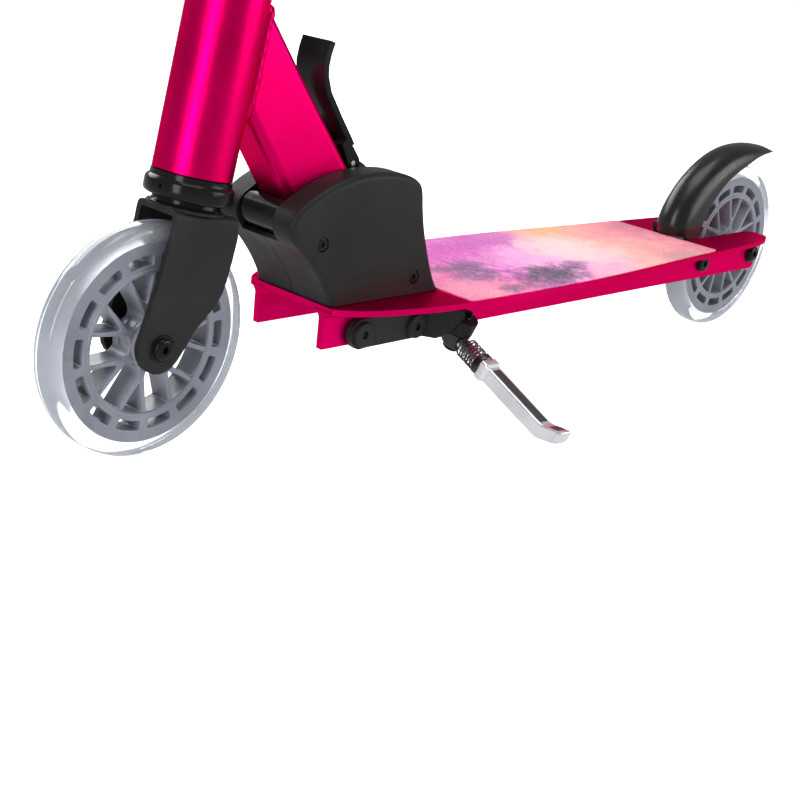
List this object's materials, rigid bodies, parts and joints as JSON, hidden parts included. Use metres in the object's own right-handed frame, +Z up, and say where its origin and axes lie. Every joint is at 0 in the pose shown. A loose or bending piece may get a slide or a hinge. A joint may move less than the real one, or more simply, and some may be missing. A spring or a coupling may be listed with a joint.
{
  "type": "kick scooter",
  "caption": "Folding two-wheel kick scooter with a wide deck, black hinge covers, a pull lever, a rear fender brake and a swing-out side stand.",
  "frame": {"origin": "on the floor, midway between the front of the front tyre and the back of the rear tyre, under the deck's centre line", "axes": "+X forward along the deck, +Y to the rider's left, the kickstand side, +Z up from the floor; the scooter stands upright and straight"},
  "size_m": [0.7876, 0.4, 0.8687],
  "materials": {
    "deck": "satin",
    "grip_tape": "matte",
    "fold_bracket": "satin",
    "cover_left": "satin",
    "cover_right": "satin",
    "cover_screw_front_left": "gloss",
    "cover_screw_rear_left": "gloss",
    "cover_screw_front_right": "gloss",
    "cover_screw_rear_right": "gloss",
    "fold_pivot_bolt": "satin",
    "fold_pivot_nut": "satin",
    "rear_axle": "gloss",
    "rear_axle_nut": "satin",
    "fender_bolt": "gloss",
    "fender_nut": "satin",
    "fender_spring": "satin",
    "kickstand_bracket": "satin",
    "bracket_bolt_1": "gloss",
    "bracket_bolt_2": "gloss",
    "kickstand_pivot_bolt": "gloss",
    "front_frame": "satin",
    "headset_cup_lower": "gloss",
    "headset_cup_upper": "gloss",
    "fold_lever_pin": "satin",
    "fold_lever": "gloss",
    "latch_pin": "satin",
    "fork": "satin",
    "headset_locknut": "satin",
    "column_tube": "satin",
    "column_collar": "satin",
    "collar_bolt_1": "satin",
    "collar_bolt_2": "satin",
    "height_clamp": "gloss",
    "quick_release_bolt": "satin",
    "front_axle": "gloss",
    "front_axle_nut": "satin",
    "quick_release_lever": "gloss",
    "handlebar": "satin",
    "grip_left": "matte",
    "grip_right": "matte",
    "front_wheel_core": "satin",
    "front_tyre": "gloss",
    "front_bearing_left": "satin",
    "front_bearing_right": "satin",
    "rear_wheel_core": "satin",
    "rear_tyre": "gloss",
    "rear_bearing_left": "satin",
    "rear_bearing_right": "satin",
    "fender": "satin",
    "kickstand_leg": "satin",
    "kickstand_spring": "satin",
    "kickstand_foot": "satin"
  },
  "bodies": {
    "base": {"deck": "deck", "grip_tape": "grip_tape", "fold_bracket": "fold_bracket", "cover_left": "cover_left", "cover_right": "cover_right", "cover_screw_front_left": "cover_screw_front_left", "cover_screw_rear_left": "cover_screw_rear_left", "cover_screw_front_right": "cover_screw_front_right", "cover_screw_rear_right": "cover_screw_rear_right", "fold_pivot_bolt": "fold_pivot_bolt", "fold_pivot_nut": "fold_pivot_nut", "rear_axle": "rear_axle", "rear_axle_nut": "rear_axle_nut", "fender_bolt": "fender_bolt", "fender_nut": "fender_nut", "fender_spring": "fender_spring", "kickstand_bracket": "kickstand_bracket", "bracket_bolt_1": "bracket_bolt_1", "bracket_bolt_2": "bracket_bolt_2", "kickstand_pivot_bolt": "kickstand_pivot_bolt"},
    "front_frame": {"front_frame": "front_frame", "headset_cup_lower": "headset_cup_lower", "headset_cup_upper": "headset_cup_upper", "fold_lever_pin": "fold_lever_pin"},
    "fold_lever": {"fold_lever": "fold_lever"},
    "latch_pin": {"latch_pin": "latch_pin"},
    "steering": {"fork": "fork", "headset_locknut": "headset_locknut", "column_tube": "column_tube", "column_collar": "column_collar", "collar_bolt_1": "collar_bolt_1", "collar_bolt_2": "collar_bolt_2", "height_clamp": "height_clamp", "quick_release_bolt": "quick_release_bolt", "front_axle": "front_axle", "front_axle_nut": "front_axle_nut"},
    "quick_release": {"quick_release_lever": "quick_release_lever"},
    "handlebar": {"handlebar": "handlebar", "grip_left": "grip_left", "grip_right": "grip_right"},
    "front_wheel": {"front_wheel_core": "front_wheel_core", "front_tyre": "front_tyre", "front_bearing_left": "front_bearing_left", "front_bearing_right": "front_bearing_right"},
    "rear_wheel": {"rear_wheel_core": "rear_wheel_core", "rear_tyre": "rear_tyre", "rear_bearing_left": "rear_bearing_left", "rear_bearing_right": "rear_bearing_right"},
    "fender": {"fender": "fender"},
    "kickstand": {"kickstand_leg": "kickstand_leg", "kickstand_spring": "kickstand_spring", "kickstand_foot": "kickstand_foot"}
  },
  "joints": [
    {"name": "fold", "type": "hinge", "parent": "base", "child": "front_frame", "pos_m": [0.22775, 0, 0.143], "axis": [0, -1, 0], "range_deg": [0, 72]},
    {"name": "fold_lever_pull", "type": "hinge", "parent": "front_frame", "child": "fold_lever", "pos_m": [0.17125, 0, 0.1735], "axis": [0, -1, 0], "range_deg": [0, 28], "stiffness_Nm_per_rad": 0.25, "springref_deg": -8.59},
    {"name": "latch_slide", "type": "slide", "parent": "front_frame", "child": "latch_pin", "axis": [-0.9272, 0, 0.3746], "range_m": [0, 0.003]},
    {"name": "steer", "type": "hinge", "parent": "front_frame", "child": "steering", "pos_m": [0.29271, 0, 0.17073], "axis": [-0.165, 0, 0.9863], "continuous": true},
    {"name": "quick_release_turn", "type": "hinge", "parent": "steering", "child": "quick_release", "pos_m": [0.19109, 0.0156, 0.6114], "axis": [-0.165, 0, 0.9863], "range_deg": [0, 110]},
    {"name": "height", "type": "slide", "parent": "steering", "child": "handlebar", "axis": [-0.165, 0, 0.9863], "range_m": [-0.05, 0.1]},
    {"name": "front_wheel_spin", "type": "hinge", "parent": "steering", "child": "front_wheel", "pos_m": [0.32125, 0, 0.0725], "axis": [0, 1, 0], "continuous": true},
    {"name": "rear_wheel_spin", "type": "hinge", "parent": "base", "child": "rear_wheel", "pos_m": [-0.32125, 0, 0.0725], "axis": [0, 1, 0], "continuous": true},
    {"name": "fender_brake", "type": "hinge", "parent": "base", "child": "fender", "pos_m": [-0.24225, 0, 0.0715], "axis": [0, -1, 0], "range_deg": [0, 7.5], "stiffness_Nm_per_rad": 3, "springref_deg": -5.73},
    {"name": "kickstand_fold", "type": "hinge", "parent": "base", "child": "kickstand", "pos_m": [0.08275, 0.046, 0.059], "axis": [0, 0.3861, 0.9224], "range_deg": [0, 90]}
  ],
  "couplings": [
    {"joint": "latch_slide", "follows": "fold_lever_pull", "m_per_rad": 0.0061}
  ]
}
